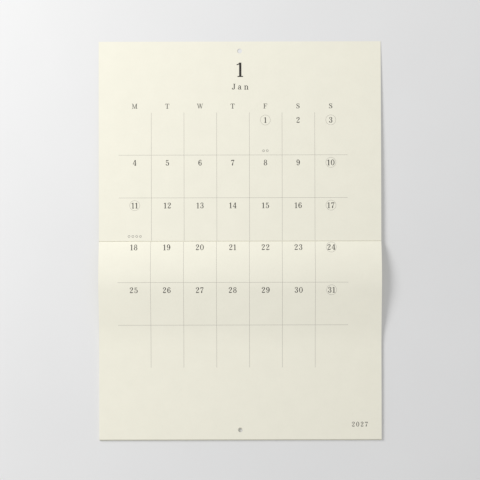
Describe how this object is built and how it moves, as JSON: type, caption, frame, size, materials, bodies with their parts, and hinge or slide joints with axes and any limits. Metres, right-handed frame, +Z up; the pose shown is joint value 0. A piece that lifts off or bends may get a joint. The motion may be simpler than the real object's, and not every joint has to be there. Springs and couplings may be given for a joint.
{
  "type": "wall calendar",
  "caption": "Stapled paper wall calendar hung open by a punched hole, one leaf turned up and the bulging block of leaves below the fold.",
  "frame": {"origin": "centre of the hanging hole, halfway through the paper of the turned-up leaf", "axes": "+Z up along the pages' height, +Y towards the wall and along the hanging hole, +X to the reader's right"},
  "size_m": [0.297, 0.011, 0.42],
  "materials": {
    "cover_paper": "matte",
    "page_paper": "matte",
    "staple_wire": "satin"
  },
  "bodies": {
    "front_cover": {"front_leaf": "cover_paper"},
    "pages": {"page_block": "page_paper", "back_leaf": "cover_paper", "staple_left": "staple_wire", "staple_right": "staple_wire"}
  },
  "joints": [
    {"name": "cover_fold", "type": "hinge", "parent": "front_cover", "child": "pages", "pos_m": [0, -0.0037, -0.2], "axis": [-1, 0, 0], "range_deg": [0, 150]}
  ]
}
